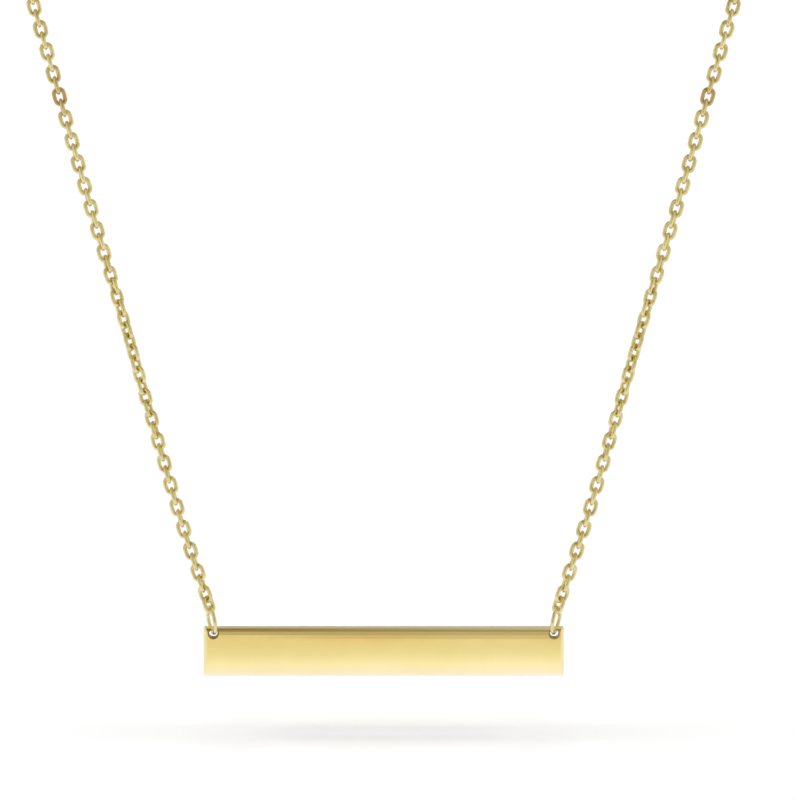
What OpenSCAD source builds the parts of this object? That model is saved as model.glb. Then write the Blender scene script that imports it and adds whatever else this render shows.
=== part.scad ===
// Bar necklace: a plain polished bar hung by its two top corners on a fine cable chain.
// Millimetres, +Z up. The origin is the middle of the nape, where the clasp lies on the neck.
// The wearer faces -Y, so the bar's polished face points to -Y.

/* [Bar] */
// Length of the bar
bar_l = 32; // [24:0.5:44]
// Height of the bar
bar_h = 4.5; // [3.6:0.1:8]
// Thickness of the bar at mid-height
bar_t = 0.9; // [0.8:0.05:1.1]
// Rounding of the bar's edges
bar_edge = 0.32; // [0.16:0.01:0.36]
// Rounding of the bar's four corners, seen from the front
bar_corner = 0.14; // [0.06:0.01:0.36]
// Rise of the polished face from its long edges to mid-height
bar_crown = 0.1; // [0.04:0.01:0.16]

/* [Holes] */
// Free space all round the ring's wire in a hole
hole_play = 0.22; // [0.2:0.01:0.4]
// Depth of the countersink at each face
hole_sink = 0.16; // [0.08:0.01:0.18]
// Metal between a hole and the bar's top edge
hole_top = 0.17; // [0.16:0.01:0.5]
// Metal between a hole and the bar's end
hole_end = 0.49; // [0.4:0.01:1.2]

/* [Jump rings] */
// Wire of a jump ring
ring_wire = 0.32; // [0.26:0.01:0.34]
// Free space in a jump ring between the bar's top edge and the first link
ring_free = 1.15; // [1:0.01:2]
// Gap between a ring's wire and the first link's
ring_gap = 0.17; // [0.12:0.01:0.2]
// Lean of the rings out of upright, towards the chain
ring_lean = 8; // [4:0.5:20]
// Turn of a ring out of square with the bar's face
ring_turn = 16; // [12:1:22]

/* [Chain] */
// Length of a link
link_l = 1.75; // [1.5:0.01:2.2]
// Width of a link
link_w = 1.26; // [1.1:0.01:1.4]
// Wire of a link
link_wire = 0.3; // [0.22:0.01:0.32]
// Gap between one link's wire and the next
link_gap = 0.12; // [0.1:0.01:0.14]
// Length of each front stretch that is made link by link
front_run = 59; // [30:1:62]

/* [Clasp] */
// Outer diameter of the clasp's ring
clasp_d = 5.5; // [4.6:0.1:7]
// Thickness of the clasp's ring
clasp_tube = 1.1; // [0.9:0.05:1.3]
// Inner diameter of the clasp's eye
eye_bore = 0.76; // [0.7:0.01:1]
// Wire of the clasp's eye
eye_wire = 0.34; // [0.28:0.01:0.4]
// Length of the clasp's thumb knob
knob_l = 0.7; // [0.4:0.1:1]
// Wire of the end ring that the clasp closes on
end_wire = 0.3; // [0.26:0.01:0.36]
// Free space in the end ring between the clasp and the last link
end_free = 0.82; // [0.6:0.01:1.2]

/* [Neck] */
// Width of the worn loop
neck_w = 108; // [98:1:124]
// Distance from the nape forward to the bar
neck_reach = 90; // [80:1:104]
// Distance from the nape down to the bar's holes
neck_drop = 114; // [100:1:132]

/* [Hidden] */
$fn = 64;
polished_gold = [0.93, 0.80, 0.45];
chain_gold = [0.83, 0.74, 0.45];
left = -1;
right = 1;

// The polished face is a shallow arc of a wide circle, so it is drawn with many sides
crown_sides = 900;

// Extra length of a shape that cuts right through another or is cut back by it
spare = 2;

// Holes, measured at a hole's centre
hole_r = ring_wire / 2 + hole_play;
hole_down = hole_r + hole_top;
hole_x = bar_l / 2 - hole_r - hole_end;
bar_top = hole_down - neck_drop;

// Jump ring: its wire's centre line passes through the hole's centre
ring_r = (hole_down + ring_free + link_wire + ring_gap + ring_wire / 2) / 2;
ring_way = [sin(ring_lean), 0, cos(ring_lean)];
hole_at = [hole_x, -neck_reach, -neck_drop];
ring_at = hole_at + ring_r * ring_way;
strand_start = ring_at + ring_r * ring_way;

// Clasp, eye and end ring, set so that both strands end as far from the middle
// eye_lip is the eye's metal that shows between the clasp's ring and the eye's bore
eye_lip = 0.07;
knob_turn = 60;
clasp_r = (clasp_d - clasp_tube) / 2;
clasp_y = clasp_tube / 2;
eye_r = (eye_bore + eye_wire) / 2;
eye_x = clasp_r + clasp_tube / 2 + eye_lip + eye_bore / 2;
end_r = (clasp_tube + end_free + link_wire + 2 * link_gap + end_wire) / 2;
end_x = clasp_r - clasp_tube / 2 - link_gap - end_wire / 2 + end_r;
strand_end_x = (eye_x + eye_r + end_x + end_r) / 2;
clasp_x = strand_end_x - eye_x - eye_r;

// Way of a strand from its jump ring to the nape: shares of the way out to the loop's widest,
// of the way back to the nape and of the way up to it
way_out = 0;
way_back = 1;
way_up = 2;
route = [
    [0.074, 0.004, 0.09],
    [0.144, 0.01, 0.175],
    [0.197, 0.017, 0.24],
    [0.286, 0.03, 0.345],
    [0.419, 0.06, 0.505],
    [0.575, 0.125, 0.67],
    [0.75, 0.24, 0.815],
    [0.915, 0.41, 0.915],
    [1, 0.605, 0.97],
    [0.9, 0.79, 0.99],
    [0.6, 0.91, 1],
    [0.2, 0.98, 1]
];
// Which way the flat links face along a strand: share of its length, degrees round from the front
facing = [
    [0, 0], [0.06, 2], [0.09, 22], [0.11, 36], [0.135, 54], [0.16, 74], [0.2, 82], [0.28, 90],
    [0.45, 100], [0.6, 115], [0.75, 135], [0.88, 165], [1, 180]
];
// How far the first link is turned to lie across its ring, and how fast that dies out
first_turn = 43;
turn_fade = 0.55;

function spline(a, b, c, d, t) =
    0.5 * (2 * b + (c - a) * t + (2 * a - 5 * b + 4 * c - d) * t * t
        + (3 * b - a - 3 * c + d) * t * t * t);
function unit(v) = v / norm(v);
function along_table(axis) = [for (i = [0 : path_end]) [runs[i], path[i][axis]]];

anchors = concat(
    [strand_start],
    [for (r = route) [
        hole_x + (neck_w / 2 - hole_x) * r[way_out],
        -neck_reach * (1 - r[way_back]),
        -neck_drop * (1 - r[way_up])
    ]],
    [[strand_end_x, clasp_y, 0]]
);
last = len(anchors) - 1;
guides = concat(
    [2 * anchors[0] - anchors[1]],
    anchors,
    [2 * anchors[last] - anchors[last - 1]]
);
span_steps = 16;
path = concat(
    [for (i = [0 : last - 1]) for (k = [0 : span_steps - 1])
        spline(guides[i], guides[i + 1], guides[i + 2], guides[i + 3], k / span_steps)],
    [anchors[last]]
);
path_end = len(path) - 1;
runs = [
    for (i = 0, s = 0; i <= path_end; i = i + 1, s = s + norm(path[min(i, path_end)] - path[i - 1])) s
];
strand_l = runs[path_end];
along_x = along_table(0);
along_y = along_table(1);
along_z = along_table(2);

// Place, heading and sideways direction of a strand at a distance from its start
function place(s) = [lookup(s, along_x), lookup(s, along_y), lookup(s, along_z)];
heading_step = 0.6;
function heading(s) = unit(place(s + heading_step) - place(s - heading_step));
function outward(s) = let (a = lookup(s / strand_l, facing)) [sin(a), -cos(a), 0];
function sideways(s) = unit(cross(heading(s), outward(s)));

// Links share the strand evenly, from inside the jump ring to inside the clasp's eye
link_r = (link_w - link_wire) / 2;
link_straight = link_l - link_w;
first_crown = -(ring_wire / 2 + link_wire / 2 + ring_gap);
last_crown = strand_l + eye_wire / 2 + link_wire / 2 + link_gap;
first_link = first_crown + (link_l - link_wire) / 2;
last_link = last_crown - (link_l - link_wire) / 2;
widest_pitch = link_l - 2 * link_wire - link_gap;
link_steps = ceil((last_link - first_link) / widest_pitch);
link_pitch = (last_link - first_link) / link_steps;
front_links = floor(front_run / link_pitch);
function link_s(i) = first_link + i * link_pitch;
function link_roll(i) = 90 + 90 * i + first_turn * pow(turn_fade, i);

// Back stretch: a plain tube as wide as the links
tube_start = link_s(front_links - 1) + link_l / 2 + link_gap;
tube_end = strand_l - eye_wire / 2 - link_gap;
tube_sides = 8;
tube_rings = 38;

module torus(r, wire, sweep = 360) {
    rotate_extrude(angle = sweep)
        translate([r, 0])
            circle(d = wire);
}

// Rectangle with rounded corners
module rounded_plate(size, r) {
    union() {
        square([size[0] - 2 * r, size[1]], center = true);
        square([size[0], size[1] - 2 * r], center = true);
        for (x = [-1, 1], y = [-1, 1])
            translate([x * (size[0] / 2 - r), y * (size[1] / 2 - r)])
                circle(r);
    }
}

// Cross section of the bar, with its polished face towards -Y of the plane
module bar_section() {
    crown_r = (pow(bar_h / 2, 2) + pow(bar_crown, 2)) / (2 * bar_crown);
    intersection() {
        rounded_plate([bar_t, bar_h], bar_edge);
        translate([crown_r - bar_t / 2, 0])
            circle(crown_r, $fn = crown_sides);
    }
}

module bar_blank() {
    intersection() {
        rotate([90, 0, 90])
            linear_extrude(bar_l + spare, center = true)
                bar_section();
        rotate([90, 0, 0])
            linear_extrude(bar_t + spare, center = true)
                rounded_plate([bar_l, bar_h], bar_corner);
        linear_extrude(bar_h + spare, center = true)
            rounded_plate([bar_l, bar_t], bar_edge);
    }
}

// A hole and its two countersinks, turned from one outline
module bar_hole() {
    straight = bar_t / 2 - hole_sink;
    wide_at = bar_t / 2 + hole_sink;
    wide_r = hole_r + 2 * hole_sink;
    rotate([90, 0, 0])
        rotate_extrude()
            polygon([
                [0, -wide_at], [wide_r, -wide_at], [hole_r, -straight],
                [hole_r, straight], [wide_r, wide_at], [0, wide_at]
            ]);
}

module bar() {
    color(polished_gold)
        translate([0, -neck_reach, 0])
            difference() {
                translate([0, 0, bar_top - bar_h / 2])
                    bar_blank();
                for (side = [left, right])
                    translate([side * hole_x, 0, -neck_drop])
                        bar_hole();
            }
}

// The left side is the right side's mirror image
module on_side(side) {
    mirror([side == left ? 1 : 0, 0, 0])
        children();
}

module jump_ring(side) {
    color(chain_gold)
        on_side(side)
            translate(ring_at)
                rotate([0, ring_lean, 0])
                    rotate([90, 0, 90 - ring_turn])
                        torus(ring_r, ring_wire);
}

// One oval link, upright, facing Y
module oval_link() {
    for (turn = [0, 180])
        rotate([0, turn, 0]) {
            translate([0, 0, link_straight / 2])
                rotate([90, 0, 0])
                    torus(link_r, link_wire, 180);
            translate([link_r, 0, 0])
                cylinder(d = link_wire, h = link_straight, center = true);
        }
}

module set_link(i) {
    s = link_s(i);
    along = heading(s);
    flat = sideways(s);
    edge = cross(along, flat);
    across = flat * cos(link_roll(i)) + edge * sin(link_roll(i));
    through = cross(along, across);
    at = place(s);
    multmatrix([
        [across[0], through[0], along[0], at[0]],
        [across[1], through[1], along[1], at[1]],
        [across[2], through[2], along[2], at[2]],
        [0, 0, 0, 1]
    ])
        oval_link();
}

module front_chain(side) {
    color(chain_gold)
        on_side(side)
            for (i = [0 : front_links - 1])
                set_link(i);
}

module back_chain(side) {
    stations = [
        for (k = [0 : tube_rings - 1]) tube_start + (tube_end - tube_start) * k / (tube_rings - 1)
    ];
    points = [
        for (s = stations) for (j = [0 : tube_sides - 1])
            let (a = 360 * (j + 0.5) / tube_sides, flat = sideways(s), edge = cross(heading(s), flat))
                place(s) + link_w / 2 * (cos(a) * flat + sin(a) * edge)
    ];
    walls = [
        for (k = [0 : tube_rings - 2]) for (j = [0 : tube_sides - 1])
            let (a = k * tube_sides + j, b = k * tube_sides + (j + 1) % tube_sides)
                [a, a + tube_sides, b + tube_sides, b]
    ];
    ends = [
        [for (j = [0 : tube_sides - 1]) j],
        [for (j = [0 : tube_sides - 1]) tube_rings * tube_sides - 1 - j]
    ];
    color(chain_gold)
        on_side(side)
            polyhedron(points, concat(walls, ends), convexity = 6);
}

module clasp() {
    color(chain_gold)
        translate([clasp_x, clasp_y, 0])
            rotate([90, 0, 0]) {
                torus(clasp_r, clasp_tube);
                translate([eye_x, 0, 0])
                    torus(eye_r, eye_wire);
                rotate([0, 0, knob_turn])
                    translate([clasp_r, 0, 0])
                        rotate([0, 90, 0])
                            cylinder(d = clasp_tube / 2, h = clasp_tube / 2 + knob_l);
            }
}

module end_ring() {
    color(chain_gold)
        translate([clasp_x - end_x, clasp_y, 0])
            torus(end_r, end_wire);
}

bar();
jump_ring(left);  // jump_ring_left
jump_ring(right);  // jump_ring_right
front_chain(left);  // chain_left_front
back_chain(left);  // chain_left_back
front_chain(right);  // chain_right_front
back_chain(right);  // chain_right_back
clasp();
end_ring();
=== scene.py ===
"""Bar necklace: a polished bar hung by its two top corners on a fine cable chain.

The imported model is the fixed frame. Every piece is modelled here in millimetres, in that same
frame, and turned to metres when it is finished. The wearer faces -Y, +Z is up, and the origin is
the middle of the nape.
"""

import logging
import math
from bisect import bisect_right
from dataclasses import dataclass, field
from enum import Enum
from typing import Callable, Iterable, Sequence

import bmesh
import bpy
from mathutils import Matrix, Vector


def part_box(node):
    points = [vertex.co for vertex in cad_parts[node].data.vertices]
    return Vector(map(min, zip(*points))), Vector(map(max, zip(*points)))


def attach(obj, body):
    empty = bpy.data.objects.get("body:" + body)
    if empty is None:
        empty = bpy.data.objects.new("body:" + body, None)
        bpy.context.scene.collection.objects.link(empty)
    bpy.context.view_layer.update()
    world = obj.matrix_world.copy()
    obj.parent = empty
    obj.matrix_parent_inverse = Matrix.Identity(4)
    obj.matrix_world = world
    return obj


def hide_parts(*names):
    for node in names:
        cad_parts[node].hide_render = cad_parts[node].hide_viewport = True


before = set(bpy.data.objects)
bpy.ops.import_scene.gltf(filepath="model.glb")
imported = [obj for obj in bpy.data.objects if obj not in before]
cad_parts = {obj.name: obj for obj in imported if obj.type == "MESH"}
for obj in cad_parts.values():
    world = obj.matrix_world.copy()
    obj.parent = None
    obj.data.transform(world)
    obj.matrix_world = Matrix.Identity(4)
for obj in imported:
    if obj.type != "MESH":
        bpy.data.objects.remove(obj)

Colour = tuple[float, float, float]

MM = 0.001
MIRRORED = Matrix.Diagonal((-1, 1, 1, 1))
# The least cosine to an axis with which an edge or a face counts as pointing along it
ALONG = 0.9

log = logging.getLogger("bar_necklace")


class Side(Enum):
    """The two ends of the bar, as the sign of X."""

    LEFT = -1
    RIGHT = 1


class Stretch(Enum):
    """The two stretches that each side's chain is made in."""

    FRONT = "front"
    BACK = "back"


# Modelling


def clamp(value: float, low: float = 0.0, high: float = 1.0) -> float:
    """Keeps a number within two limits."""
    return min(max(value, low), high)


def deselect() -> None:
    """Leaves edit mode and selects nothing."""
    if bpy.context.object and bpy.context.object.mode != "OBJECT":
        bpy.ops.object.mode_set(mode="OBJECT")
    bpy.ops.object.select_all(action="DESELECT")


def start(add: Callable[..., set], name: str, **where: object) -> bpy.types.Object:
    """Adds a primitive, whose place goes into its mesh.

    Args:
        add: The operator that adds it.
        name: The new object's name.
        where: The operator's own sizes and place, in millimetres and radians.

    Returns:
        The new object, at the origin, unturned and unscaled.
    """
    deselect()
    add(**where)
    made = bpy.context.object
    made.name = made.data.name = name
    bpy.ops.object.transform_apply(location=True, rotation=True, scale=True)
    return made


def only(made: bpy.types.Object) -> None:
    """Makes one object the only selected one, and the active one.

    Args:
        made: The object.
    """
    deselect()
    made.select_set(True)
    bpy.context.view_layer.objects.active = made


class Edit:
    """Edit mode on one object, with selection by place."""

    def __init__(self, made: bpy.types.Object, kind: str = "VERT") -> None:
        """Keeps the object and the kind of element that is selected: VERT, EDGE or FACE."""
        self.made = made
        self.kind = kind

    def __enter__(self) -> "Edit":
        """Enters edit mode with nothing selected."""
        only(self.made)
        bpy.ops.object.mode_set(mode="EDIT")
        bpy.ops.mesh.select_mode(type=self.kind)
        bpy.ops.mesh.select_all(action="DESELECT")
        return self

    def __exit__(self, *problem: object) -> None:
        """Goes back to object mode."""
        bpy.ops.object.mode_set(mode="OBJECT")

    def pick(self, wanted: Callable[..., bool]) -> None:
        """Selects what a test wants, and nothing else.

        Args:
            wanted: The test. It is given each vertex, edge or face in turn.
        """
        bpy.ops.mesh.select_all(action="DESELECT")
        shape = bmesh.from_edit_mesh(self.made.data)
        for part in {"VERT": shape.verts, "EDGE": shape.edges, "FACE": shape.faces}[self.kind]:
            if wanted(part):
                part.select_set(True)
        shape.select_flush_mode()
        bmesh.update_edit_mesh(self.made.data)


def apply_modifier(made: bpy.types.Object, kind: str, **values: object) -> None:
    """Adds a modifier and applies it.

    Args:
        made: The object.
        kind: The modifier's type.
        values: The modifier's settings.
    """
    only(made)
    modifier = made.modifiers.new(kind.lower(), kind)
    for key, value in values.items():
        setattr(modifier, key, value)
    bpy.ops.object.modifier_apply(modifier=modifier.name)


def smooth(made: bpy.types.Object, angle: float = 40.0) -> None:
    """Shades an object smooth, apart from edges sharper than an angle in degrees."""
    only(made)
    bpy.ops.object.shade_smooth_by_angle(angle=math.radians(angle))


def join(parts: Sequence[bpy.types.Object], name: str) -> bpy.types.Object:
    """Joins objects into the first one.

    Args:
        parts: The objects.
        name: The joined object's name.

    Returns:
        The joined object.
    """
    deselect()
    for part in parts:
        part.select_set(True)
    bpy.context.view_layer.objects.active = parts[0]
    bpy.ops.object.join()
    parts[0].name = parts[0].data.name = name
    return parts[0]


def close_up(made: bpy.types.Object) -> None:
    """Merges doubles and turns all faces outwards.

    Args:
        made: The object.
    """
    with Edit(made):
        bpy.ops.mesh.select_all(action="SELECT")
        bpy.ops.mesh.remove_doubles(threshold=0.0005)
        bpy.ops.mesh.normals_make_consistent(inside=False)


def to_metres(made: bpy.types.Object) -> None:
    """Turns a mesh that is modelled in millimetres to metres."""
    made.data.transform(Matrix.Scale(MM, 4))


def hand_over(
    made: bpy.types.Object,
    body: str,
    finishes: Iterable["Finish"],
    nodes: Iterable[str],
) -> None:
    """Turns a finished piece to metres, dresses it, hangs it on its body and hides the model's
    nodes that it replaces.

    Args:
        made: The piece, in millimetres.
        body: The body that it rides on.
        finishes: The finishes of its surfaces, the main one first.
        nodes: The model's nodes that it replaces.
    """
    to_metres(made)
    made.data.materials.clear()
    for finish in finishes:
        made.data.materials.append(finish.material())
    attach(made, body)
    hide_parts(*nodes)
    made.data.calc_loop_triangles()
    log.info("%s: %d triangles, rides %s", made.name, len(made.data.loop_triangles), body)


# Finishes


class Nodes:
    """A short way to lay out a material's nodes."""

    def __init__(self, tree: bpy.types.NodeTree) -> None:
        """Keeps the node tree that is filled."""
        self.tree = tree

    def add(self, kind: str, **values: object) -> bpy.types.Node:
        """Adds a node.

        Args:
            kind: The node's type, without its ShaderNode prefix.
            values: Properties of the node, or values of its inputs, by name.

        Returns:
            The node.
        """
        node = self.tree.nodes.new("ShaderNode" + kind)
        for key, value in values.items():
            if key in node.inputs:
                node.inputs[key].default_value = value
            else:
                setattr(node, key, value)
        return node

    def link(self, source: bpy.types.NodeSocket, target: bpy.types.NodeSocket) -> None:
        """Links an output to an input."""
        self.tree.links.new(source, target)

    def axes(self, kind: str) -> Sequence[bpy.types.NodeSocket]:
        """Coordinates along X, Y and Z.

        Args:
            kind: The Texture Coordinate node's output that they come from.

        Returns:
            The three coordinates.
        """
        split = self.add("SeparateXYZ")
        self.link(self.add("TexCoord").outputs[kind], split.inputs["Vector"])
        return tuple(split.outputs)

    def math(
        self, operation: str, value: bpy.types.NodeSocket, other: float | bpy.types.NodeSocket = 0.0
    ) -> bpy.types.NodeSocket:
        """A sum, product or other step of arithmetic.

        Args:
            operation: The Math node's operation.
            value: The first number.
            other: The second number, fixed or from a socket.

        Returns:
            The result.
        """
        node = self.add("Math", operation=operation)
        self.link(value, node.inputs[0])
        if isinstance(other, float):
            node.inputs[1].default_value = other
        else:
            self.link(other, node.inputs[1])
        return node.outputs["Value"]

    def mix(
        self,
        share: bpy.types.NodeSocket,
        none: Sequence[float] | bpy.types.NodeSocket,
        full: Sequence[float] | bpy.types.NodeSocket,
    ) -> bpy.types.NodeSocket:
        """A blend of two colours.

        Args:
            share: The second colour's share.
            none: The first colour, fixed or from a socket.
            full: The second colour, fixed or from a socket.

        Returns:
            The blended colour.
        """
        node = self.add("Mix", data_type="RGBA")
        sockets = {socket.identifier: socket for socket in node.inputs}
        self.link(share, sockets["Factor_Float"])
        for key, colour in (("A_Color", none), ("B_Color", full)):
            if isinstance(colour, bpy.types.NodeSocket):
                self.link(colour, sockets[key])
            else:
                sockets[key].default_value = (*colour, 1.0)
        return next(socket for socket in node.outputs if socket.identifier == "Result_Color")

    def noise(
        self, where: bpy.types.NodeSocket, scale: float, detail: float, stretch: Sequence[float]
    ) -> bpy.types.NodeSocket:
        """A noise that may be stretched along the axes.

        Args:
            where: The coordinates.
            scale: The noise's scale, per metre.
            detail: Its detail.
            stretch: The scale of the coordinates along X, Y and Z.

        Returns:
            The noise's grey value.
        """
        mapping = self.add("Mapping", Scale=tuple(stretch))
        self.link(where, mapping.inputs["Vector"])
        noise = self.add("TexNoise", Scale=scale, Detail=detail)
        self.link(mapping.outputs["Vector"], noise.inputs["Vector"])
        return noise.outputs["Fac"]

    def ramp(
        self, value: bpy.types.NodeSocket, stops: Sequence[tuple[float, Sequence[float]]]
    ) -> bpy.types.NodeSocket:
        """A colour ramp.

        Args:
            value: The grey value that is looked up.
            stops: Each stop's place and colour.

        Returns:
            The ramp's colour.
        """
        node = self.add("ValToRGB")
        bar = node.color_ramp
        while len(bar.elements) < len(stops):
            bar.elements.new(0.5)
        for element, (place, colour) in zip(bar.elements, stops):
            element.position = place
        for element, (place, colour) in zip(bar.elements, stops):
            element.color = (*colour, 1.0)
        self.link(value, node.inputs["Fac"])
        return node.outputs["Color"]

    def between(
        self,
        value: bpy.types.NodeSocket,
        low: float,
        high: float,
        first: float = 0.0,
        last: float = 1.0,
    ) -> bpy.types.NodeSocket:
        """Maps a number to a range.

        Args:
            value: The number.
            low: What it becomes at the first limit and before it.
            high: What it becomes at the last limit and past it.
            first: The first limit.
            last: The last limit.

        Returns:
            The mapped number.
        """
        limits = {"From Min": first, "From Max": last, "To Min": low, "To Max": high}
        node = self.add("MapRange", **limits)
        self.link(value, node.inputs["Value"])
        return node.outputs["Result"]


def surface(name: str, shade: Callable[[Nodes], bpy.types.NodeSocket]) -> bpy.types.Material:
    """A material, made once.

    Args:
        name: The material's name.
        shade: Lays out its nodes and returns the shader.

    Returns:
        The material.
    """
    known = bpy.data.materials.get(name)
    if known:
        return known
    made = bpy.data.materials.new(name)
    made.use_nodes = True
    made.node_tree.nodes.clear()
    nodes = Nodes(made.node_tree)
    nodes.link(shade(nodes), nodes.add("OutputMaterial").inputs["Surface"])
    return made


@dataclass(frozen=True)
class Finish:
    """A metal finish: its colours, polish and fine marks.

    Attributes:
        name: The material's name.
        pale: The metal's paler colour.
        deep: Its deeper colour.
        polish: The least roughness.
        haze: How much rougher the haziest spots are.
        haze_size: The size of the hazy spots, in millimetres.
        marks: The depth of the fine marks, in millimetres.
        marks_size: The width of a fine mark, in millimetres.
        marks_run: How much longer than wide a mark is along X.
    """

    name: str
    pale: Colour
    deep: Colour
    polish: float
    haze: float
    haze_size: float
    marks: float
    marks_size: float
    marks_run: float = 1.0

    def colour(self, nodes: Nodes, where: bpy.types.NodeSocket) -> bpy.types.NodeSocket:
        """The metal's colour at Object coordinates: pale with deeper clouds."""
        clouds = nodes.noise(where, 1.0 / (6.0 * self.haze_size * MM), 2.0, (1, 1, 1))
        return nodes.ramp(clouds, ((0.35, self.deep), (0.65, self.pale)))

    def shade(self, nodes: Nodes) -> bpy.types.NodeSocket:
        """Lays out the metal: its clouded colour, its hazy spots and its fine marks.

        Args:
            nodes: The material's nodes.

        Returns:
            The shader.
        """
        where = nodes.add("TexCoord").outputs["Object"]
        shader = nodes.add("BsdfPrincipled", Metallic=1.0)
        nodes.link(self.colour(nodes, where), shader.inputs["Base Color"])
        spots = nodes.noise(where, 1.0 / (self.haze_size * MM), 3.0, (1, 1, 1))
        nodes.link(
            nodes.between(spots, self.polish, self.polish + self.haze, 0.4, 0.7),
            shader.inputs["Roughness"],
        )
        lines = nodes.noise(
            where, 1.0 / (self.marks_size * MM), 2.0, (1.0 / self.marks_run, 1.0, 1.0)
        )
        bump = nodes.add("Bump", Strength=1.0, Distance=self.marks * MM)
        nodes.link(lines, bump.inputs["Height"])
        nodes.link(bump.outputs["Normal"], shader.inputs["Normal"])
        return shader.outputs["BSDF"]

    def material(self) -> bpy.types.Material:
        """The finish's material."""
        return surface(self.name, self.shade)


@dataclass(frozen=True)
class LinkFinish(Finish):
    """A chain's finish, whose colour also changes from link to link.

    Attributes:
        amber: The colour of the browner links.
        attribute: The mesh attribute that holds each link's share of amber.
    """

    amber: Colour = (0.62, 0.40, 0.14)
    attribute: str = "link_shade"

    def colour(self, nodes: Nodes, where: bpy.types.NodeSocket) -> bpy.types.NodeSocket:
        """The clouded colour, turned to amber where a link is browner.

        Args:
            nodes: The material's nodes.
            where: Object coordinates.

        Returns:
            The colour.
        """
        base = super().colour(nodes, where)
        share = nodes.add("Attribute", attribute_name=self.attribute).outputs["Fac"]
        return nodes.mix(share, base, self.amber)


MIRROR_GOLD = Finish(
    name="mirror_polished_gold",
    pale=(1.0, 0.86, 0.45),
    deep=(0.97, 0.82, 0.40),
    polish=0.05,
    haze=0.05,
    haze_size=1.2,
    marks=0.0004,
    marks_size=0.05,
    marks_run=18.0,
)
# The hole walls' colour is painted shade: at about half the polished face's brightness it stands in
# for the shade inside the holes. Their greater roughness and coarser marks are the drilled finish.
DRILLED_GOLD_PAINTED_SHADE = Finish(
    name="drilled_hole_gold",
    pale=(0.50, 0.38, 0.17),
    deep=(0.34, 0.25, 0.10),
    polish=0.30,
    haze=0.20,
    haze_size=0.2,
    marks=0.002,
    marks_size=0.04,
)
CHAIN_GOLD = LinkFinish(
    name="tumbled_chain_gold",
    pale=(0.86, 0.735, 0.335),
    deep=(0.75, 0.62, 0.25),
    polish=0.12,
    haze=0.12,
    haze_size=0.3,
    marks=0.004,
    marks_size=0.12,
)
CLASP_GOLD = Finish(
    name="cast_clasp_gold",
    pale=(0.96, 0.82, 0.46),
    deep=(0.88, 0.74, 0.38),
    polish=0.09,
    haze=0.08,
    haze_size=0.6,
    marks=0.003,
    marks_size=0.15,
)


# The bar


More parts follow.
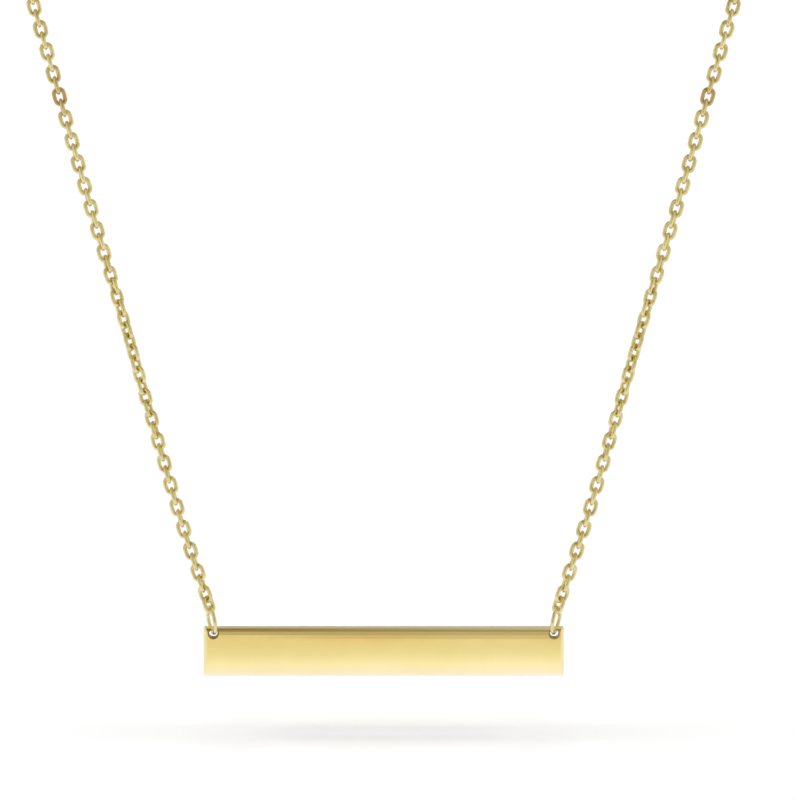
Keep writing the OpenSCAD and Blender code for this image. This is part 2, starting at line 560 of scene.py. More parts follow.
@dataclass
class PolishedBar:
    """The pendant: a bar with rounded edges, a crowned face and a hole in each top corner.

    Attributes:
        length: The bar's length.
        height: Its height.
        thickness: Its thickness at mid-height.
        neck_reach: How far in front of the nape it hangs.
        top: The height of its top edge.
        edge: The rounding of its long and upright edges.
        corner: The rounding of its four corners, seen from the front.
        crown: The rise of its face from the long edges to mid-height.
        ring_wire: The wire of the rings that pass through its holes.
        hole_play: The space round that wire.
        hole_sink: The depth of the holes' countersinks.
        hole_top: From its top edge down to a hole.
        hole_end: From its end in to a hole.
        crown_strips: How many level strips its face is cut into.
        crown_stop: How far from the long edges the strips start, as a share of the rounding.
        edge_steps: How many facets a rounding has.
        hole_sides: How many sides a hole has.
        sharp: The least angle of an edge that is rounded, in degrees.
        soft: The greatest angle that is shaded smooth, in degrees.
    """

    length: float
    height: float
    thickness: float
    neck_reach: float
    top: float
    edge: float = 0.32
    corner: float = 0.14
    crown: float = 0.1
    ring_wire: float = 0.32
    hole_play: float = 0.22
    hole_sink: float = 0.16
    hole_top: float = 0.17
    hole_end: float = 0.49
    crown_strips: int = 12
    crown_stop: float = 1.15
    edge_steps: int = 6
    hole_sides: int = 48
    sharp: float = 60.0
    soft: float = 35.0

    @classmethod
    def packed(cls) -> "PolishedBar":
        """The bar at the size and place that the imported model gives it."""
        low, high = (Vector(corner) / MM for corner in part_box("bar"))
        size = high - low
        return cls(size.x, size.z, size.y, -(low.y + high.y) / 2, high.z)

    @property
    def hole_r(self) -> float:
        """The holes' radius."""
        return self.ring_wire / 2 + self.hole_play

    @property
    def hole_down(self) -> float:
        """From the bar's top edge down to a hole's centre."""
        return self.hole_r + self.hole_top

    @property
    def hole_x(self) -> float:
        """From the bar's middle out to a hole's centre."""
        return self.length / 2 - self.hole_r - self.hole_end

    @property
    def neck_drop(self) -> float:
        """From the nape down to the holes."""
        return self.hole_down - self.top

    @property
    def middle(self) -> float:
        """The height of the bar's long centre line."""
        return self.top - self.height / 2

    @property
    def crown_r(self) -> float:
        """The radius of the crowned face."""
        return ((self.height / 2) ** 2 + self.crown**2) / (2 * self.crown)

    def hole_at(self, side: Side) -> Vector:
        """The centre of a hole, in the middle of the bar's thickness."""
        return Vector((side.value * self.hole_x, -self.neck_reach, -self.neck_drop))

    def crown_face(self, made: bpy.types.Object) -> None:
        """Cuts the blank into level strips and sets the front ones back along the crown.

        Args:
            made: The square blank.
        """
        flat = self.height / 2 - self.edge * self.crown_stop
        face = -self.neck_reach - self.thickness / 2
        with Edit(made) as edit:
            for k in range(self.crown_strips + 1):
                up = self.middle - flat + 2 * flat * k / self.crown_strips
                bpy.ops.mesh.select_all(action="SELECT")
                bpy.ops.mesh.bisect(plane_co=(0, 0, up), plane_no=(0, 0, 1))
            heights = sorted({round(v.co.z, 4) for v in bmesh.from_edit_mesh(made.data).verts})
            for up in heights:
                edit.pick(lambda v: abs(v.co.z - up) < 1e-3 and abs(v.co.y - face) < 1e-3)
                set_back = self.crown_r - math.sqrt(self.crown_r**2 - (up - self.middle) ** 2)
                bpy.ops.transform.translate(value=(0, set_back, 0))

    def round_edges(self, made: bpy.types.Object) -> None:
        """Rounds the edges, those at the outline's corners less than the others.

        Args:
            made: The crowned blank.
        """
        sharp = math.radians(self.sharp)
        with Edit(made, "EDGE") as edit:
            for corners in (True, False):
                edit.pick(
                    lambda e: e.calc_face_angle(0) > sharp
                    and (abs((e.verts[1].co - e.verts[0].co).normalized().y) > ALONG) == corners
                )
                bpy.ops.transform.edge_bevelweight(value=self.corner / self.edge if corners else 1)
        apply_modifier(
            made,
            "BEVEL",
            width=self.edge,
            segments=self.edge_steps,
            limit_method="WEIGHT",
            use_clamp_overlap=False,
        )

    def blank(self) -> bpy.types.Object:
        """The bar without its holes.

        Returns:
            The blank, crowned and with its edges rounded.
        """
        made = start(
            bpy.ops.mesh.primitive_cube_add,
            "bar_body",
            size=1,
            location=(0, -self.neck_reach, self.middle),
            scale=(self.length, self.thickness, self.height),
        )
        self.crown_face(made)
        self.round_edges(made)
        return made

    def drill(self, side: Side) -> bpy.types.Object:
        """The shape that a hole takes out: a cylinder that flares at both faces.

        Args:
            side: Which hole.

        Returns:
            The cutter.
        """
        made = start(
            bpy.ops.mesh.primitive_cylinder_add,
            "drill",
            vertices=self.hole_sides,
            radius=self.hole_r,
            depth=self.thickness - 2 * self.hole_sink,
            location=self.hole_at(side),
            rotation=(math.radians(90), 0, 0),
        )
        flare = (self.hole_r + 2 * self.hole_sink) / self.hole_r
        for way in (-1, 1):
            with Edit(made, "FACE") as edit:
                edit.pick(lambda f: f.normal.y * way > ALONG)
                bpy.ops.mesh.extrude_region_move(
                    TRANSFORM_OT_translate={"value": (0, way * 2 * self.hole_sink, 0)}
                )
                bpy.ops.transform.resize(
                    value=(flare, 1, flare), center_override=self.hole_at(side)
                )
        return made

    def in_hole(self, face: bpy.types.MeshPolygon) -> bool:
        """Whether a face is part of a hole's wall.

        Args:
            face: The face, in millimetres.

        Returns:
            True for the drilled and the countersunk walls.
        """
        reach = self.hole_r + self.hole_sink
        for side in Side:
            off = Vector(face.center) - self.hole_at(side)
            if math.hypot(off.x, off.z) < reach and abs(face.normal.y) < ALONG:
                return True
        return False

    def build(self) -> None:
        """Models, drills, smooths and dresses the bar."""
        made = self.blank()
        for side in Side:
            cutter = self.drill(side)
            apply_modifier(made, "BOOLEAN", object=cutter, operation="DIFFERENCE", solver="EXACT")
            bpy.data.objects.remove(cutter)
        smooth(made, self.soft)
        apply_modifier(made, "WEIGHTED_NORMAL", keep_sharp=True, weight=100, mode="FACE_AREA")
        # The hole walls get the darker gold, which is painted shade inside the holes, over their
        # drilled finish.
        drilled = [int(self.in_hole(face)) for face in made.data.polygons]
        hand_over(made, "bar", (MIRROR_GOLD, DRILLED_GOLD_PAINTED_SHADE), ["bar"])
        made.data.polygons.foreach_set("material_index", drilled)


# The chain's way


def catmull(a: Vector, b: Vector, c: Vector, d: Vector, t: float) -> Vector:
    """A point on the smooth curve from b to c.

    Args:
        a: The point before b.
        b: Where the curve starts.
        c: Where it ends.
        d: The point after c.
        t: The share of the way from b to c.

    Returns:
        The point.
    """
    return 0.5 * (
        2 * b + (c - a) * t + (2 * a - 5 * b + 4 * c - d) * t**2 + (3 * b - a - 3 * c + d) * t**3
    )


@dataclass
class Strand:
    """The way of the right-hand chain, from its jump ring round to the nape.

    Attributes:
        bar: The bar that hangs from it.
        ring_free: The height from the bar's top edge to the first link, inside the jump ring.
        ring_gap: The space between the jump ring and the first link.
        ring_lean: How far the jump rings lean outwards, in degrees.
        ring_turn: How far they are turned from edge-on, in degrees.
        link_l: A link's length.
        link_w: Its width.
        link_wire: Its wire.
        link_gap: The least space between two links, and round the eye and the clasp.
        link_full: How much thicker a link's wire looks than the model's.
        front_run: How much of the strand is its front stretch.
        clasp_d: The clasp's outer diameter.
        clasp_tube: The clasp's thickness.
        eye_bore: The inner diameter of the clasp's eye.
        eye_wire: The eye's wire.
        eye_lip: The space between the eye's bore and the clasp.
        end_wire: The end ring's wire.
        end_free: The end ring's spare inner width.
        neck_w: The worn loop's greatest width.
        span_steps: How many straight steps there are from one point of the route to the next.
        heading_step: How far to both sides the strand's heading is read.
        first_turn: How far the first link is turned on from its place in the row, in degrees.
        turn_fade: How much of that turn each next link keeps.
        left_turn_at: The share of the strand at which the left one starts a slow quarter turn.
        route: The strand's way out, back and up, as shares of the neck's width, reach and drop.
        facing: Which way the flat links face at each share of the strand, in degrees.
        path: The strand's points.
        runs: How far along the strand each point is.
    """

    bar: PolishedBar
    ring_free: float = 1.15
    ring_gap: float = 0.17
    ring_lean: float = 8.0
    ring_turn: float = 16.0
    link_l: float = 1.75
    link_w: float = 1.26
    link_wire: float = 0.3
    link_gap: float = 0.12
    link_full: float = 0.07
    front_run: float = 59.0
    clasp_d: float = 5.5
    clasp_tube: float = 1.1
    eye_bore: float = 0.76
    eye_wire: float = 0.34
    eye_lip: float = 0.07
    end_wire: float = 0.3
    end_free: float = 0.82
    neck_w: float = 108.0
    span_steps: int = 16
    heading_step: float = 0.6
    first_turn: float = 43.0
    turn_fade: float = 0.55
    left_turn_at: float = 0.35
    route: tuple[tuple[float, float, float], ...] = (
        (0.074, 0.004, 0.09),
        (0.144, 0.01, 0.175),
        (0.197, 0.017, 0.24),
        (0.286, 0.03, 0.345),
        (0.419, 0.06, 0.505),
        (0.575, 0.125, 0.67),
        (0.75, 0.24, 0.815),
        (0.915, 0.41, 0.915),
        (1, 0.605, 0.97),
        (0.9, 0.79, 0.99),
        (0.6, 0.91, 1),
        (0.2, 0.98, 1),
    )
    facing: tuple[tuple[float, float], ...] = (
        (0, 0),
        (0.06, 2),
        (0.09, 22),
        (0.11, 36),
        (0.135, 54),
        (0.16, 74),
        (0.2, 82),
        (0.28, 90),
        (0.45, 100),
        (0.6, 115),
        (0.75, 135),
        (0.88, 165),
        (1, 180),
    )
    path: list[Vector] = field(default_factory=list)
    runs: list[float] = field(default_factory=list)

    def __post_init__(self) -> None:
        """Works out the clasp's and the rings' sizes and lays the path."""
        bar, lean = self.bar, math.radians(self.ring_lean)
        self.ring_r = (
            bar.hole_down + self.ring_free + self.link_wire + self.ring_gap + bar.ring_wire / 2
        ) / 2
        ring_up = self.ring_r * Vector((math.sin(lean), 0, math.cos(lean)))
        self.ring_at = bar.hole_at(Side.RIGHT) + ring_up
        begin = self.ring_at + ring_up
        self.clasp_r = (self.clasp_d - self.clasp_tube) / 2
        self.clasp_y = self.clasp_tube / 2
        self.eye_r = (self.eye_bore + self.eye_wire) / 2
        self.eye_x = self.clasp_r + self.clasp_tube / 2 + self.eye_lip + self.eye_bore / 2
        self.end_r = (
            self.clasp_tube + self.end_free + self.link_wire + 2 * self.link_gap + self.end_wire
        ) / 2
        self.end_x = (
            self.clasp_r - self.clasp_tube / 2 - self.link_gap - self.end_wire / 2 + self.end_r
        )
        end_at = (self.eye_x + self.eye_r + self.end_x + self.end_r) / 2
        self.clasp_x = end_at - self.eye_x - self.eye_r
        anchors = [begin]
        for out, back, up in self.route:
            aside = bar.hole_x + (self.neck_w / 2 - bar.hole_x) * out
            anchors.append(Vector((aside, -bar.neck_reach * (1 - back), -bar.neck_drop * (1 - up))))
        anchors.append(Vector((end_at, self.clasp_y, 0)))
        guides = [2 * anchors[0] - anchors[1], *anchors, 2 * anchors[-1] - anchors[-2]]
        for i in range(len(anchors) - 1):
            for k in range(self.span_steps):
                self.path.append(catmull(*guides[i : i + 4], k / self.span_steps))
        self.path.append(anchors[-1])
        self.runs.append(0.0)
        for a, b in zip(self.path, self.path[1:]):
            self.runs.append(self.runs[-1] + (b - a).length)
        self.share_links()

    def share_links(self) -> None:
        """Shares the links evenly over the strand."""
        self.length = self.runs[-1]
        first_crown = -(self.bar.ring_wire / 2 + self.link_wire / 2 + self.ring_gap)
        last_crown = self.length + self.eye_wire / 2 + self.link_wire / 2 + self.link_gap
        self.first_link = first_crown + (self.link_l - self.link_wire) / 2
        last_link = last_crown - (self.link_l - self.link_wire) / 2
        widest = self.link_l - 2 * self.link_wire - self.link_gap
        self.steps = math.ceil((last_link - self.first_link) / widest)
        self.pitch = (last_link - self.first_link) / self.steps
        self.front_links = math.floor(self.front_run / self.pitch)

    def place(self, s: float) -> Vector:
        """The point at a distance along the strand.

        Args:
            s: The distance from the strand's start.

        Returns:
            The point.
        """
        s = clamp(s, 0.0, self.length)
        i = clamp(bisect_right(self.runs, s) - 1, 0, len(self.path) - 2)
        share = (s - self.runs[i]) / (self.runs[i + 1] - self.runs[i])
        return self.path[i].lerp(self.path[i + 1], share)

    def facing_at(self, s: float) -> float:
        """Which way the flat links face.

        Args:
            s: The distance from the strand's start.

        Returns:
            The angle from the front, in radians.
        """
        share = clamp(s / self.length)
        for (a, low), (b, high) in zip(self.facing, self.facing[1:]):
            if share <= b:
                return math.radians(low + (high - low) * (share - a) / (b - a))
        return math.radians(self.facing[-1][1])

    def frame_at(self, s: float) -> tuple[Vector, Vector, Vector]:
        """The strand's own directions.

        Args:
            s: The distance from the strand's start.

        Returns:
            The heading, and the directions across it in the flat links' plane and out of it.
        """
        along = (self.place(s + self.heading_step) - self.place(s - self.heading_step)).normalized()
        turn = self.facing_at(s)
        outward = Vector((math.sin(turn), -math.cos(turn), 0))
        flat = along.cross(outward).normalized()
        return along, flat, along.cross(flat)

    def link_matrix(self, i: int, side: Side) -> Matrix:
        """Where a link lies.

        Args:
            i: The link's number from the jump ring.
            side: The side of the necklace.

        Returns:
            The matrix from the link's own axes.
        """
        s = self.first_link + i * self.pitch
        along, flat, edge = self.frame_at(s)
        roll = 90 + 90 * i + self.first_turn * self.turn_fade**i
        if side is Side.LEFT:
            share = clamp((s / self.length - self.left_turn_at) / (1 - self.left_turn_at))
            roll += 90 * share * share * (3 - 2 * share)
        roll = math.radians(roll)
        across = flat * math.cos(roll) + edge * math.sin(roll)
        through = along.cross(across)
        at = self.place(s)
        lies = Matrix.Translation(at) @ Matrix((across, through, along)).transposed().to_4x4()
        return MIRRORED @ lies @ MIRRORED if side is Side.LEFT else lies


# Rings and links


@dataclass
class Torus:
    """A ring of round wire.

    Attributes:
        radius: From its centre to the wire's.
        wire: The wire's diameter.
        sides: How many sides the ring has.
        wire_sides: How many sides the wire has.
    """

    radius: float
    wire: float
    sides: int = 48
    wire_sides: int = 14

    def model(self, name: str) -> bpy.types.Object:
        """Models the ring round Z at the origin."""
        return start(
            bpy.ops.mesh.primitive_torus_add,
            name,
            major_segments=self.sides,
            minor_segments=self.wire_sides,
            major_radius=self.radius,
            minor_radius=self.wire / 2,
        )


def degrees_from(vertex: bmesh.types.BMVert, at: float) -> float:
    """How far round Z a vertex of a ring lies from a place on it, in degrees."""
    return abs(math.degrees(math.atan2(vertex.co.y, vertex.co.x)) - at)


@dataclass
class JumpRing:
    """The soldered ring that ties a chain to the bar's hole.

    Attributes:
        strand: The chain's way.
        side: Which ring.
        seam_at: Where round the ring its solder seam is, in degrees.
        seam_half: Half the seam's width, in degrees.
        seam_swell: How far the seam stands out.
    """

    strand: Strand
    side: Side
    seam_at: float = 35.0
    seam_half: float = 9.0
    seam_swell: float = 0.012

    def build(self) -> None:
        """Models the ring with its faint solder seam, and dresses it."""
        way, side = self.strand, self.side.name.lower()
        made = Torus(way.ring_r, way.bar.ring_wire).model(f"soldered_ring_{side}")
        with Edit(made) as edit:
            edit.pick(lambda v: degrees_from(v, self.seam_at) < self.seam_half)
            bpy.ops.transform.shrink_fatten(value=self.seam_swell)
        turn = (
            Matrix.Translation(way.ring_at)
            @ Matrix.Rotation(math.radians(way.ring_lean), 4, "Y")
            @ Matrix.Rotation(math.radians(90 - way.ring_turn), 4, "Z")
            @ Matrix.Rotation(math.radians(90), 4, "X")
        )
        if self.side is Side.LEFT:
            turn = MIRRORED @ turn
        made.data.transform(turn)
        close_up(made)
        smooth(made)
        hand_over(made, "necklace", [CHAIN_GOLD], [f"jump_ring_{side}"])


@dataclass
class CableChain:
    """One stretch of one side's chain, of oval links that each pass through the next.

    Attributes:
        strand: The chain's way.
        side: Which chain.
        stretch: Which stretch of it.
        sides: How many sides a link has.
        wire_sides: How many sides its wire has.
        amber: The numbers of the browner links and their shares of amber.
        centre_band: The half height of the band at a link's middle where no vertex is moved.
    """

    strand: Strand
    side: Side
    stretch: Stretch
    sides: int = 20
    wire_sides: int = 8
    amber: tuple[tuple[int, float], ...] = ()
    centre_band: float = 0.02

    def link(self) -> bpy.types.Object:
        """Models one oval link, upright, seen along Y.

        Returns:
            The link.
        """
        way = self.strand
        wire = way.link_wire + way.link_full
        made = start(
            bpy.ops.mesh.primitive_torus_add,
            "link",
            major_segments=self.sides,
            minor_segments=self.wire_sides,
            major_radius=(way.link_w - wire) / 2,
            minor_radius=wire / 2,
            rotation=(math.radians(90), 0, 0),
        )
        half = (way.link_l - way.link_w) / 2
        for sign in (-1, 1):
            with Edit(made) as edit:
                edit.pick(lambda v: v.co.z * sign > self.centre_band)
                bpy.ops.transform.translate(value=(0, 0, sign * half))
        smooth(made, 80.0)
        return made

    def build(self) -> None:
        """Copies the link along the strand, joins the copies and dresses them."""
        way = self.strand
        if self.stretch is Stretch.FRONT:
            numbers = range(way.front_links)
        else:
            numbers = range(way.front_links, way.steps + 1)
        pattern = self.link()
        amber = dict(self.amber)
        parts = []
        for i in numbers:
            part = pattern.copy()
            part.data = pattern.data.copy()
            bpy.context.collection.objects.link(part)
            part.data.transform(way.link_matrix(i, self.side))
            shade = part.data.attributes.new(CHAIN_GOLD.attribute, "FLOAT", "POINT")
            shade.data.foreach_set("value", [amber.get(i, 0.0)] * len(part.data.vertices))
            parts.append(part)
        bpy.data.objects.remove(pattern)
        side = self.side.name.lower()
        made = join(parts, f"cable_links_{side}_{self.stretch.value}")
        node = f"chain_{side}_{self.stretch.value}"
        hand_over(made, "necklace", [CHAIN_GOLD], [node])


@dataclass
class SpringRingClasp:
    """The closed clasp at the nape, with its gate, its thumb knob and its eye.

    Attributes:
        strand: The chain's way.
        knob_l: How far the knob stands out.
        knob_turn: Where round the clasp the knob is, in degrees.
        knob_edge: The rounding of its edges.
        gate: Where round the clasp the gate's two seams are, in degrees.
        seam_depth: How deep the seams are.
        sides: How many sides the clasp has.
        wire_sides: How many sides its tube has.
    """

    strand: Strand
    knob_l: float = 0.7
    knob_turn: float = 60.0
    knob_edge: float = 0.1
    gate: tuple[float, float] = (20.0, 95.0)
    seam_depth: float = 0.05
    sides: int = 72
    wire_sides: int = 20

    def build(self) -> None:
        """Models the clasp and dresses it."""
        way = self.strand
        ring = Torus(way.clasp_r, way.clasp_tube, self.sides, self.wire_sides).model("clasp_ring")
        near = 0.6 * 360 / self.sides
        for at in self.gate:
            with Edit(ring) as edit:
                edit.pick(lambda v: degrees_from(v, at) < near)
                bpy.ops.transform.shrink_fatten(value=-self.seam_depth)
        eye = Torus(way.eye_r, way.eye_wire, sides=32, wire_sides=12).model("clasp_eye")
        eye.data.transform(Matrix.Translation((way.eye_x, 0, 0)))
        knob = start(
            bpy.ops.mesh.primitive_cylinder_add,
            "clasp_knob",
            vertices=20,
            radius=way.clasp_tube / 4,
            depth=way.clasp_tube / 2 + self.knob_l,
            location=(way.clasp_r + (way.clasp_tube / 2 + self.knob_l) / 2, 0, 0),
            rotation=(0, math.radians(90), 0),
        )
        with Edit(knob, "EDGE") as edit:
            edit.pick(lambda e: e.calc_face_angle(0) > math.radians(way.bar.sharp))
            bpy.ops.mesh.bevel(offset=self.knob_edge, segments=4, affect="EDGES")
        knob.data.transform(Matrix.Rotation(math.radians(self.knob_turn), 4, "Z"))
        made = join([ring, eye, knob], "spring_ring_clasp")
        made.data.transform(
            Matrix.Translation((way.clasp_x, way.clasp_y, 0))
            @ Matrix.Rotation(math.radians(90), 4, "X")
        )
        smooth(made)
        hand_over(made, "necklace", [CLASP_GOLD], ["clasp"])


@dataclass
class EndRing:
    """The soldered ring that the clasp closes on."""

    strand: Strand

    def build(self) -> None:
        """Models the ring and dresses it."""
        way = self.strand
        made = Torus(way.end_r, way.end_wire).model("clasp_end_ring")
        made.data.transform(Matrix.Translation((way.clasp_x - way.end_x, way.clasp_y, 0)))
        smooth(made)
        hand_over(made, "necklace", [CHAIN_GOLD], ["end_ring"])


# The studio


LIGHT_RAYS = ("diffuse", "glossy", "transmission", "volume_scatter", "shadow")


def seen_only_by(made: bpy.types.Object, *rays: str) -> None:
    """Hides an object from all kinds of rays but some, such as camera or glossy."""
    for ray in ("camera", *LIGHT_RAYS):
        setattr(made, f"visible_{ray}", ray in rays)


def glow(name: str, paint: Callable[[Nodes], bpy.types.NodeSocket | None]) -> bpy.types.Material:
    """A material that gives off its own light.

    Args:
        name: The material's name.
        paint: Lays out the colour's nodes and returns the colour, or None for plain white.

    Returns:
        The material.
    """

    def shade(nodes: Nodes) -> bpy.types.NodeSocket:
        """Lays out the light in its colour."""
        light = nodes.add("Emission", Strength=1.0)
        colour = paint(nodes)
        if colour:
            nodes.link(colour, light.inputs["Color"])
        return light.outputs["Emission"]

    return surface(name, shade)


def card(
    name: str,
    at: Vector,
    size: Sequence[float],
    paint: Callable[[Nodes], bpy.types.NodeSocket | None],
) -> None:
    """Adds a sheet of paper that gives off light and that only the gold mirrors.

    Args:
        name: The sheet's name.
        at: Its middle.
        size: Its size along X, Y and Z, of which Y or Z is nothing.
        paint: Lays out its colour.
    """
    upright = size[1] == 0
    made = start(
        bpy.ops.mesh.primitive_plane_add,
        name,
        size=1,
        location=at,
        rotation=(math.radians(90) if upright else 0, 0, 0),
    )
    with Edit(made):
        bpy.ops.mesh.select_all(action="SELECT")
        bpy.ops.transform.resize(value=tuple(s or 1 for s in size), center_override=at)
    to_metres(made)
    made.data.materials.append(glow(f"{name}_paper", paint))
    seen_only_by(made, "glossy")


@dataclass
class FrontCard:
    """The paper sheet in front of the bar that its polished face mirrors.

    Its colours are set where the camera sees them mirrored, as shares of the way down the face.

    Attributes:
        bar: The bar.
        elevation: How steeply the camera's rays come down on the bar, in degrees.
        reach: How far in front of the bar the sheet stands.
        half_w: Half its width.
        tones: Its colour at each share of the way down the face.
        brow_left: The colour of the darker band along its top, at the picture's left.
        brow_right: The band's colour from the middle to the picture's right.
        brow_top: The share of the way down the face at which the band starts to fade.
        brow_ends: The shares at which it is gone, at the picture's left and at its right.
        brow_turn: Where across the bar the left ends and the right begins.
        warm_spot: How a soft warm spot tints the sheet.
        warm_at: The spot's place across the bar and its share of the way down.
        warm_size: The spot's half width and half height on the sheet.
        warm_share: How strong the tint is at the spot's middle.
        margin: How far the sheet goes on above and below what the face mirrors.
    """

    bar: PolishedBar
    elevation: float
    reach: float = 150.0
    half_w: float = 60.0
    tones: tuple[tuple[float, Colour], ...] = (
        (0.0, (0.84, 0.76, 0.59)),
        (0.24, (0.82, 0.75, 0.567)),
        (0.38, (0.84, 0.79, 0.61)),
        (0.52, (0.875, 0.85, 0.69)),
        (0.63, (0.945, 0.92, 0.82)),
        (0.73, (1.01, 1.0, 1.0)),
        (0.83, (1.02, 1.01, 1.18)),
        (0.94, (1.02, 1.03, 1.28)),
    )
    brow_left: Colour = (0.27, 0.22, 0.12)
    brow_right: Colour = (0.40, 0.34, 0.22)
    brow_top: float = 0.05
    brow_ends: tuple[float, float] = (0.17, 0.27)
    brow_turn: tuple[float, float] = (-12.0, -1.0)
    warm_spot: Colour = (0.86, 0.66, 0.42)
    warm_at: tuple[float, float] = (-2.0, 0.22)
    warm_size: tuple[float, float] = (7.0, 9.0)
    warm_share: float = 0.6
    margin: float = 25.0

    def height_of(self, share: float) -> float:
        """The height on the sheet that is mirrored at a share of the way down the face.

        Args:
            share: The share, from the bar's top edge.

        Returns:
            The height.
        """
        up = self.bar.height * (0.5 - share)
        tilt = 2 * math.asin(up / self.bar.crown_r) - math.radians(self.elevation)
        return self.bar.middle + up + self.reach * math.tan(tilt)

    def paint(self, nodes: Nodes) -> bpy.types.NodeSocket:
        """Lays out the sheet's colours.

        Args:
            nodes: The material's nodes.

        Returns:
            The colour.
        """
        top, bottom = self.height_of(0.0), self.height_of(1.0)
        x, _, z = nodes.axes("Object")
        down = nodes.between(z, 0.0, 1.0, top * MM, bottom * MM)
        stops = [((self.height_of(s) - top) / (bottom - top), c) for s, c in self.tones]
        sheet = nodes.ramp(down, stops)
        squares = []
        middle = (self.warm_at[0], self.height_of(self.warm_at[1]))
        for along, at, half in zip((x, z), middle, self.warm_size):
            off = nodes.math("DIVIDE", nodes.math("SUBTRACT", along, at * MM), half * MM)
            squares.append(nodes.math("POWER", off, 2.0))
        warm = nodes.between(nodes.math("ADD", *squares), self.warm_share, 0.0)
        sheet = nodes.mix(warm, sheet, self.warm_spot)
        across = nodes.between(x, 0.0, 1.0, *(turn * MM for turn in self.brow_turn))
        full = self.height_of(self.brow_top) * MM
        depths = [full - self.height_of(end) * MM for end in self.brow_ends]
        depth = nodes.between(across, *depths)
        above = nodes.math("SUBTRACT", nodes.math("ADD", z, depth), full)
        band = nodes.math("DIVIDE", above, depth)
        return nodes.mix(band, sheet, nodes.mix(across, self.brow_left, self.brow_right))

    def build(self) -> None:
        """Stands the sheet in front of the bar, seen in the gold alone."""
        low, high = self.height_of(1.0) - self.margin, self.height_of(0.0) + self.margin
        at = Vector((0, -self.bar.neck_reach - self.reach, (low + high) / 2))
        card("front_card", at, (2 * self.half_w, 0, high - low), self.paint)


@dataclass
class TopCard:
    """The dark sheet above the bar that the rounding along its top edge mirrors.

    Attributes:
        bar: The bar.
        height: How far above the bar it lies.
        half: Half its width and depth.
        left: Its colour towards the wearer's right, at the picture's left.
        right: Its colour at the picture's right.
        spread: Half the distance over which the one turns into the other.
        back: Its paler colour behind the bar.
        fade: Half the distance over which it grows paler, from front to back.
    """

    bar: PolishedBar
    height: float = 133.0
    half: tuple[float, float] = (60.0, 200.0)
    left: Colour = (0.245, 0.188, 0.10)
    right: Colour = (0.50, 0.49, 0.45)
    spread: float = 18.0
    back: Colour = (0.62, 0.66, 0.70)
    fade: float = 60.0

    def paint(self, nodes: Nodes) -> bpy.types.NodeSocket:
        """Lays out the sheet's colours.

        Args:
            nodes: The material's nodes.

        Returns:
            The colour.
        """
        x, y, _ = nodes.axes("Object")
        share = nodes.between(x, 0.0, 1.0, -self.spread * MM, self.spread * MM)
        front = nodes.mix(share, self.left, self.right)
        ends = [(way * self.fade - self.bar.neck_reach) * MM for way in (-1, 1)]
        return nodes.mix(nodes.between(y, 0.0, 1.0, *ends), front, self.back)

    def build(self) -> None:
        """Hangs the sheet above the bar, seen in the gold alone."""
        at = Vector((0, -self.bar.neck_reach, self.bar.top + self.height))
        card("top_card", at, (2 * self.half[0], 2 * self.half[1], 0), self.paint)


@dataclass(frozen=True)
class Lamp:
    """A wide soft lamp far above, which the gold doesn't mirror.

    Attributes:
        name: The lamp's name.
        aside: How far it leans to the picture's right, in degrees.
        lean: How far it leans to the back, in degrees.
        spread: How wide it is, in degrees.
        strength: Its strength.
    """

    name: str
    aside: float
    lean: float
    spread: float
    strength: float

    def build(self) -> None:
        """Hangs the lamp."""
        lamp = bpy.data.lights.new(self.name, "SUN")
        lamp.energy = self.strength
        lamp.angle = math.radians(self.spread)
        made = bpy.data.objects.new(self.name, lamp)
        made.rotation_euler = (-math.radians(self.lean), math.radians(self.aside), 0)
        made.visible_glossy = False
        bpy.context.scene.collection.objects.link(made)


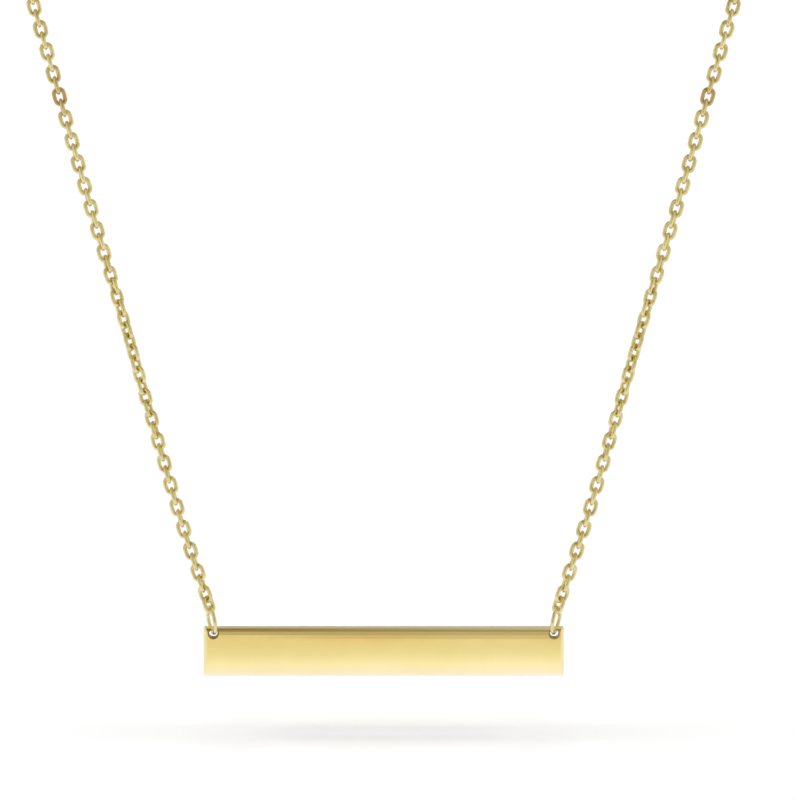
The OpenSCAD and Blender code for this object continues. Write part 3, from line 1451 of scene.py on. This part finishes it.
@dataclass
class Studio:
    """The pale floor, the white backdrop, the soft light and the camera.

    Attributes:
        bar: The bar, which the camera looks at.
        floor_drop: How far below the bar the floor lies.
        floor_half: The radius of the floor and of the backdrop.
        paper: The floor's colour.
        lens: The camera's focal length.
        sensor: The width of its sensor.
        elevation: How far above level the camera stands, in degrees.
        px_per_mm: The picture's scale at the bar.
        bar_top_px: The row of the bar's top edge in the picture.
        centre_px: The column of the bar's middle.
        frame_w: The picture's width.
        frame_h: The picture's height.
        low_sky: What the gold mirrors from straight below up to level.
        high_sky: What it mirrors above level, from the middle out to the sides.
        horizon: Where the one gives way to the other, from 0 straight below to 1 above.
        lamps: The lamps that light the floor.
    """

    bar: PolishedBar
    floor_drop: float = 5.2
    floor_half: float = 4000.0
    paper: Colour = (0.9, 0.9, 0.9)
    lens: float = 500.0
    sensor: float = 36.0
    elevation: float = 12.5
    px_per_mm: float = 11.31
    bar_top_px: float = 627.7
    centre_px: float = 383.7
    frame_w: int = 795
    frame_h: int = 800
    low_sky: tuple[tuple[float, Colour], ...] = (
        (0.0, (0.97, 1.04, 1.6)),
        (0.25, (0.99, 1.04, 1.45)),
        (0.30, (0.97, 1.02, 1.25)),
        (0.40, (0.88, 0.95, 1.05)),
        (0.50, (0.76, 0.76, 0.72)),
    )
    high_sky: tuple[tuple[float, Colour], ...] = (
        (0.20, (0.33, 0.29, 0.20)),
        (0.38, (1.05, 1.05, 1.05)),
        (0.60, (1.0, 1.0, 1.0)),
        (0.68, (0.42, 0.39, 0.30)),
        (0.80, (0.42, 0.39, 0.30)),
        (0.90, (1.0, 1.0, 1.0)),
    )
    horizon: tuple[float, float] = (0.49, 0.53)
    lamps: tuple[Lamp, ...] = (
        Lamp("softbox_overhead", aside=0.0, lean=0.0, spread=21.0, strength=0.22),
        Lamp("softbox_front", aside=0.0, lean=-24.0, spread=47.0, strength=0.77),
        Lamp("softbox_back", aside=0.0, lean=24.0, spread=47.0, strength=0.92),
        Lamp("softbox_left", aside=-44.0, lean=0.0, spread=35.0, strength=1.4),
        Lamp("softbox_right", aside=44.0, lean=0.0, spread=35.0, strength=1.16),
    )

    @property
    def distance(self) -> float:
        """From the camera to what it looks at."""
        return self.frame_h / self.px_per_mm * self.lens / self.sensor

    @property
    def bar_elevation(self) -> float:
        """How steeply the camera's rays come down on the bar, in degrees."""
        below = (self.bar_top_px - self.frame_h / 2) / self.px_per_mm + self.bar.height / 2
        return self.elevation + math.degrees(math.atan(below / self.distance))

    @property
    def floor_at(self) -> tuple[float, float, float]:
        """The middle of the floor."""
        return (0, -self.bar.neck_reach / 2, self.bar.top - self.bar.height - self.floor_drop)

    def floor(self) -> None:
        """Adds the pale paper floor."""
        made = start(
            bpy.ops.mesh.primitive_circle_add,
            "paper_floor",
            vertices=96,
            radius=self.floor_half,
            fill_type="NGON",
            location=self.floor_at,
        )
        to_metres(made)
        made.data.materials.append(surface("pale_paper", self.paper_shade))
        made.visible_glossy = False

    def paper_shade(self, nodes: Nodes) -> bpy.types.NodeSocket:
        """Lays out the floor's matt paper."""
        return nodes.add("BsdfDiffuse", Color=(*self.paper, 1.0)).outputs["BSDF"]

    def backdrop(self) -> None:
        """Adds the plain white dome that the camera sees behind the floor."""
        made = start(
            bpy.ops.mesh.primitive_uv_sphere_add,
            "white_backdrop",
            segments=48,
            ring_count=24,
            radius=self.floor_half,
            location=self.floor_at,
        )
        to_metres(made)
        made.data.materials.append(glow("backdrop_white", lambda nodes: None))
        seen_only_by(made, "camera")

    def sky(self) -> None:
        """Sets what the gold mirrors all round: white paper below, pale and dark bands above."""
        world = bpy.data.worlds.new("studio")
        bpy.context.scene.world = world
        world.use_nodes = True
        world.node_tree.nodes.clear()
        world.cycles_visibility.diffuse = False
        nodes = Nodes(world.node_tree)
        x, _, z = nodes.axes("Generated")
        up = nodes.between(z, 0.0, 1.0, -1.0, 1.0)
        below = nodes.ramp(up, self.low_sky)
        above = nodes.ramp(nodes.math("ABSOLUTE", x), self.high_sky)
        colour = nodes.mix(nodes.between(up, 0.0, 1.0, *self.horizon), below, above)
        light = nodes.add("Background", Strength=1.0)
        nodes.link(colour, light.inputs["Color"])
        out = nodes.add("OutputWorld")
        nodes.link(light.outputs["Background"], out.inputs["Surface"])

    def camera(self) -> None:
        """Sets the camera at the photograph's angle and framing."""
        tilt = math.radians(self.elevation)
        side = (self.frame_w / 2 - self.centre_px) / self.px_per_mm
        drop = (self.bar_top_px - self.frame_h / 2) / self.px_per_mm / math.cos(tilt)
        target = Vector((side, -self.bar.neck_reach, self.bar.top + drop))
        back = Vector((0, -math.cos(tilt), math.sin(tilt)))
        data = bpy.data.cameras.new("camera")
        data.lens = self.lens
        data.sensor_width = self.sensor
        data.sensor_fit = "AUTO"
        data.clip_start, data.clip_end = 0.01, 20.0
        made = bpy.data.objects.new("camera", data)
        made.location = (target + back * self.distance) * MM
        made.rotation_euler = (-back).to_track_quat("-Z", "Y").to_euler()
        bpy.context.scene.collection.objects.link(made)
        bpy.context.scene.camera = made

    def build(self) -> None:
        """Sets up the studio."""
        bpy.context.scene.view_settings.view_transform = "Standard"
        self.camera()
        self.floor()
        self.backdrop()
        self.sky()
        FrontCard(self.bar, self.bar_elevation).build()
        TopCard(self.bar).build()
        for lamp in self.lamps:
            lamp.build()


# The links that look browner, by their number from the jump ring, with their share of amber
AMBER_LINKS = {
    Side.LEFT: ((45, 0.35), (46, 0.9), (47, 0.35), (48, 0.45)),
    Side.RIGHT: ((45, 0.35), (46, 0.9), (47, 0.35), (48, 0.2)),
}


def main() -> None:
    """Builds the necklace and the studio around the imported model."""
    logging.basicConfig(level=logging.INFO, format="%(message)s")
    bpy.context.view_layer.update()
    bar = PolishedBar.packed()
    Studio(bar).build()
    bar.build()
    strand = Strand(bar)
    log.info("strand %.3f mm, %d links a side", strand.length, strand.steps + 1)
    for side in Side:
        JumpRing(strand, side).build()
        CableChain(strand, side, Stretch.FRONT, amber=AMBER_LINKS[side]).build()
        CableChain(strand, side, Stretch.BACK, sides=12, wire_sides=6).build()
    SpringRingClasp(strand).build()
    EndRing(strand).build()


if __name__ == "__main__":
    main()
